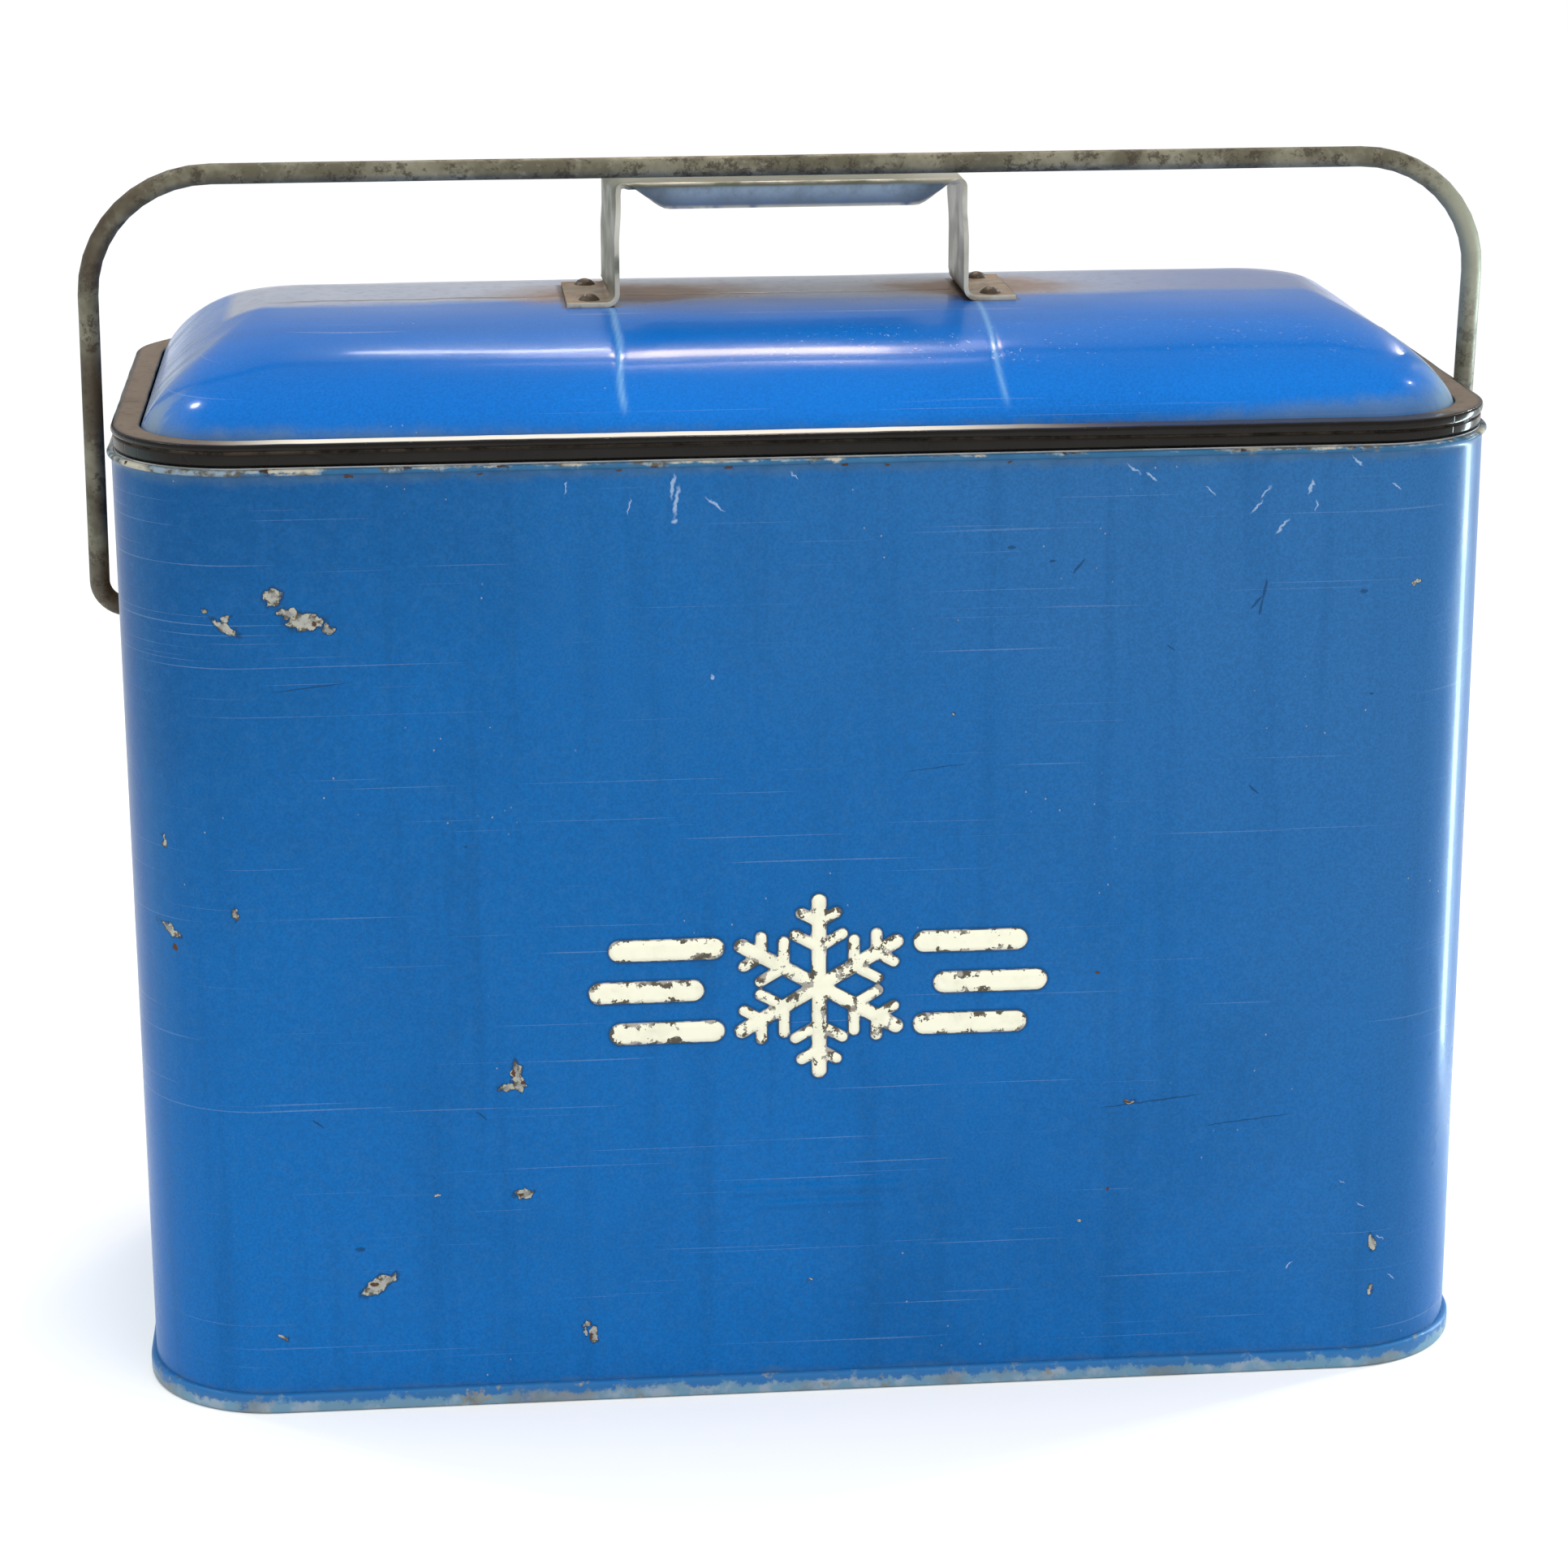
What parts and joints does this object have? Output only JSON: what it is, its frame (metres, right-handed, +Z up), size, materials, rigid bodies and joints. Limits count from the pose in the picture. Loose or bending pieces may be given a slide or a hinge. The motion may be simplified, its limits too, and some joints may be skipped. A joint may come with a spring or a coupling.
{
  "type": "picnic cooler chest",
  "caption": "Insulated steel picnic cooler: rounded chest with a rolled rim, lift-off domed lid with a strap handle, swinging wire bail and a screw-capped drain.",
  "frame": {"origin": "on the ground, at the middle of the footprint", "axes": "+X along the chest's length towards its drain and opener end, +Y towards the back, +Z up"},
  "size_m": [0.501, 0.232, 0.4256],
  "materials": {
    "blue_paint": "glossy enamel, aged",
    "lid_paint": "glossy enamel, aged",
    "seam_paint": "worn paint over steel",
    "galvanised": "galvanised, spangled",
    "bail_steel": "oxidised wire",
    "strap_steel": "worn zinc plating",
    "rivet_steel": "dark oxidised",
    "gasket_rubber": "aged matt",
    "washer_rubber": "matt",
    "glass_wool": "fibrous",
    "cap_plastic": "moulded",
    "drain_brass": "plated, dulled"
  },
  "bodies": {
    "chest": {"outer_shell": "blue_paint", "bottom_pan": "seam_paint", "inner_liner": "galvanised", "insulation_wall": "glass_wool", "insulation_floor": "glass_wool", "pivot_plate_left": "strap_steel", "pivot_plate_right": "strap_steel", "pivot_rivets": "rivet_steel", "tray_support_left": "galvanised", "tray_support_right": "galvanised", "tray_support_rivets": "rivet_steel", "bottle_opener": "strap_steel", "opener_screws": "rivet_steel", "drain_tube": "drain_brass", "drain_washer": "washer_rubber", "drain_locknut": "drain_brass"},
    "lid": {"lid_shell": "lid_paint", "lid_pan": "galvanised", "lid_insulation": "glass_wool", "lid_gasket": "gasket_rubber", "lid_handle": "strap_steel", "lid_handle_rivets": "rivet_steel", "lid_backing_plate_left": "rivet_steel", "lid_backing_plate_right": "rivet_steel"},
    "bail": {"bail_handle": "bail_steel", "bail_retainer_left": "rivet_steel", "bail_retainer_right": "rivet_steel"},
    "tray": {"tray": "galvanised"},
    "drain_seal": {"drain_cap_seal": "washer_rubber"},
    "drain_cap": {"drain_cap": "cap_plastic"}
  },
  "joints": [
    {"name": "bail_swing", "type": "hinge", "parent": "chest", "child": "bail", "pos_m": [0, 0, 0.2643], "axis": [1, 0, 0], "range_deg": [0, 121]},
    {"name": "lid_lift", "type": "slide", "parent": "chest", "child": "lid", "axis": [0, 0, 1], "range_m": [0, 0.044]},
    {"name": "tray_lift", "type": "slide", "parent": "chest", "child": "tray", "axis": [0, 0, 1], "range_m": [0, 0.024]},
    {"name": "cap_travel", "type": "slide", "parent": "chest", "child": "drain_seal", "axis": [1, 0, 0], "range_m": [0, 0.008]},
    {"name": "cap_unscrew", "type": "hinge", "parent": "drain_seal", "child": "drain_cap", "pos_m": [0.24, 0, 0.041], "axis": [1, 0, 0], "range_deg": [0, 1440]}
  ],
  "couplings": [
    {"joint": "cap_travel", "follows": "cap_unscrew", "m_per_rad": 0.00031831}
  ]
}
